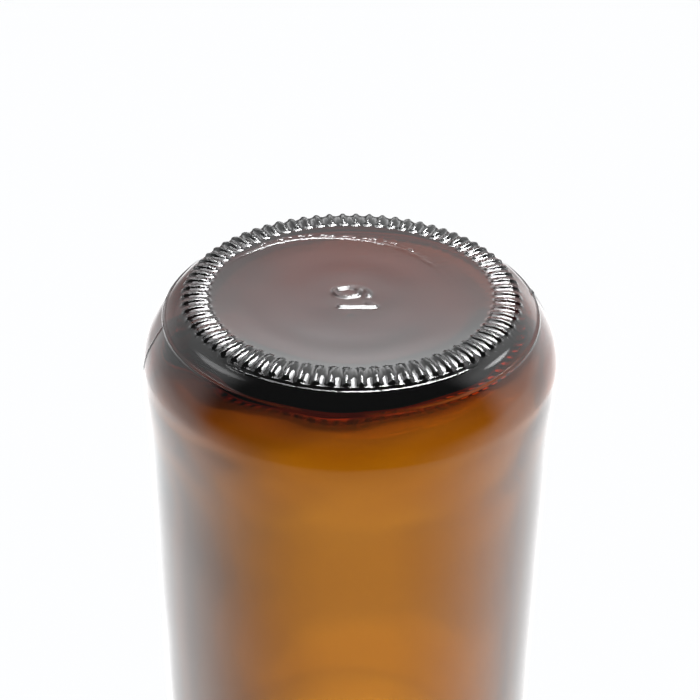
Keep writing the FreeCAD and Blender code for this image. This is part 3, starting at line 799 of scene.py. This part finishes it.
# ---------------------------------------------------------------------- light
# A white tent round the bottle, open and dark towards the camera.
world = bpy.data.worlds.new("tent")
scene.world = world
world.use_nodes = True
nd = Nodes(world.node_tree)
out = nd.new("ShaderNodeOutputWorld")
bg = nd.new("ShaderNodeBackground")
tc = nd.new("ShaderNodeTexCoord")
sep = nd.new("ShaderNodeSeparateXYZ")
nd.link(tc.outputs["Generated"], sep.inputs[0])
px = nd.math("MULTIPLY", sep.outputs[0], -1.0)
py = sep.outputs[1]
pz = nd.math("MULTIPLY", sep.outputs[2], -1.0)
def curve(x, stops):
    """Piecewise level over x, -1 to 1, as (x, level) stops; levels up to 16."""
    node = nd.new("ShaderNodeValToRGB")
    node.color_ramp.interpolation = "EASE"
    el = node.color_ramp.elements
    while len(el) > 1:
        el.remove(el[-1])
    el[0].position = 0.5 + 0.5 * stops[0][0]
    el[0].color = (stops[0][1] / 16.0,) * 3 + (1,)
    for pos, level in stops[1:]:
        e = el.new(0.5 + 0.5 * pos)
        e.color = (level / 16.0,) * 3 + (1,)
    nd.link(nd.math("MULTIPLY_ADD", x, 0.5, 0.5), node.inputs[0])
    return nd.math("MULTIPLY", node.outputs[0], 16.0)


flat = nd.math("MAXIMUM", nd.math("SQRT", nd.math("ADD", nd.math("MULTIPLY", px, px), nd.math("MULTIPLY", py, py))), 1e-4)
sx = nd.math("DIVIDE", px, flat)
sy = nd.math("DIVIDE", py, flat)
L_BACK = curve(pz, [
    (-1, 1.2), (-0.72, 2.75), (-0.675, 2.68), (-0.652, 2.15), (-0.63, 2.18), (-0.597, 2.40), (-0.5, 2.2), (-0.38, 1.8), (-0.26, 0.7), (-0.18, 0.35),
    (-0.08, 0.26), (0.10, 0.25), (0.2, 1.2), (0.28, 2.5), (0.34, 3.0), (0.38, 2.85), (0.42, 2.5), (0.46, 2.1), (0.5, 1.82), (0.54, 1.62), (0.575, 1.4), (0.64, 1.25), (0.72, 1.2),
])
L_LEFT = curve(pz, [(-1, 1.3), (-0.55, 2.3), (-0.4, 2.15), (-0.2, 1.6), (0.05, 1.0), (0.3, 0.9), (0.6, 1.2), (0.8, 0.4), (0.95, 0.06)])
L_RIGHT = curve(pz, [(-1, 1.3), (-0.55, 2.2), (-0.4, 2.1), (-0.2, 1.95), (-0.05, 2.0), (0.08, 1.5), (0.3, 1.3), (0.6, 1.6), (0.8, 0.5), (0.95, 0.06)])
L_FRONT = curve(pz, [(-1, 0.8), (-0.6, 0.5), (-0.5, 0.42), (-0.35, 0.05), (0, 0.05), (0.5, 0.12), (1, 0.13)])
# seen through the glass, the low backdrop fades to either side of the middle
lp = nd.new("ShaderNodeLightPath")
side_fade = curve(sx, [
    (-1, 0.10), (-0.45, 0.08), (-0.327, 0.085), (-0.22, 0.21), (-0.166, 0.32), (-0.129, 0.43), (-0.098, 0.51),
    (-0.072, 0.6), (-0.047, 0.69), (-0.024, 0.74), (0.0, 0.755), (0.045, 0.78), (0.096, 0.73), (0.163, 0.675), (0.214, 0.60),
    (0.313, 0.42), (0.40, 0.15), (0.6, 0.12), (1, 0.12),
])
side_fade = nd.math("ADD", 1.0, nd.math("MULTIPLY", nd.math("SUBTRACT", side_fade, 1.0), nd.math("MULTIPLY", nd.ramp(pz, -0.1, -0.3), lp.outputs["Is Transmission Ray"])))


def blend(a, b, t):
    return nd.math("ADD", nd.math("MULTIPLY", a, nd.math("SUBTRACT", 1.0, t)), nd.math("MULTIPLY", b, t))


side = blend(L_LEFT, L_RIGHT, nd.ramp(sx, -0.2, 0.2))
# the backdrop proper; the right-hand wall of the tent comes further round
to_back = blend(nd.ramp(sy, 0.70, 0.95), nd.ramp(sy, 0.88, 0.985), nd.ramp(sx, -0.05, 0.15))
level = nd.math("MULTIPLY", blend(side, L_BACK, to_back), side_fade)
high = nd.ramp(pz, -0.25, 0.1)
THROUGH = lp.outputs["Is Transmission Ray"]
L_FRONT_THROUGH = curve(pz, [(-1, 0.8), (-0.6, 0.5), (-0.35, 0.4), (-0.1, 1.0), (0.1, 1.3), (0.4, 1.35), (0.8, 0.6), (1, 0.3)])
L_FRONT = blend(L_FRONT, L_FRONT_THROUGH, THROUGH)
level = blend(level, L_FRONT, blend(nd.ramp(sy, 0.25, -0.95), nd.ramp(sy, 0.05, -0.3), high))
# lamp in the tent's roof, towards the back; dark in front of it
front_roof = nd.math("MULTIPLY", nd.ramp(pz, 0.75, 0.88), nd.ramp(py, 0.12, 0.02))
level = blend(level, nd.math("ADD", 0.13, 0.0), front_roof)
lamp = nd.math("MULTIPLY", nd.ramp(pz, 0.70, 0.75), nd.ramp(py, -0.13, -0.05))
lamp = nd.math("MULTIPLY", lamp, nd.math("MULTIPLY", nd.ramp(px, -0.48, -0.38), nd.ramp(px, 0.52, 0.44)))
lamp_level = nd.ramp(px, -0.14, 0.04, 5.0, 24.0)
level = blend(level, nd.math("MULTIPLY", lamp_level, nd.math("SUBTRACT", 1.0, nd.math("MULTIPLY", THROUGH, 0.25))), lamp)
# two small soft boxes at the sides, long and narrow
for side_x, cy, cz, length_, width_, power in ((1.0, 0.27, 0.51, 0.20, 0.040, 7.0), (-1.0, 0.12, 0.585, 0.30, 0.055, 2.4)):
    oy, oz = nd.math("SUBTRACT", py, cy), nd.math("SUBTRACT", pz, cz)
    du = nd.math("DIVIDE", nd.math("ADD", nd.math("MULTIPLY", oy, -0.86), nd.math("MULTIPLY", oz, 0.51)), length_)
    dv = nd.math("DIVIDE", nd.math("ADD", nd.math("MULTIPLY", oy, 0.51), nd.math("MULTIPLY", oz, 0.86)), width_)
    spot = nd.ramp(nd.math("ADD", nd.math("MULTIPLY", du, du), nd.math("MULTIPLY", dv, dv)), 1.0, 0.0)
    spot = nd.math("MULTIPLY", spot, nd.math("GREATER_THAN", nd.math("MULTIPLY", px, side_x), 0.0))
    level = nd.math("ADD", level, nd.math("MULTIPLY", spot, power))
seen = nd.math("ADD", nd.math("MULTIPLY", lp.outputs["Is Camera Ray"], 1.0), nd.math("MULTIPLY", nd.math("SUBTRACT", 1.0, lp.outputs["Is Camera Ray"]), level))
bg.inputs["Color"].default_value = (0.985, 0.992, 1.0, 1)
nd.link(seen, bg.inputs["Strength"])
nd.link(bg.outputs[0], out.inputs["Surface"])

scene.view_settings.view_transform = "Standard"
scene.view_settings.look = "None"
scene.cycles.use_denoising = True
scene.cycles.denoiser = "OPENIMAGEDENOISE"
scene.cycles.denoising_input_passes = "RGB"
scene.cycles.max_bounces = 24
scene.cycles.transmission_bounces = 24
scene.cycles.glossy_bounces = 10
scene.cycles.transparent_max_bounces = 16
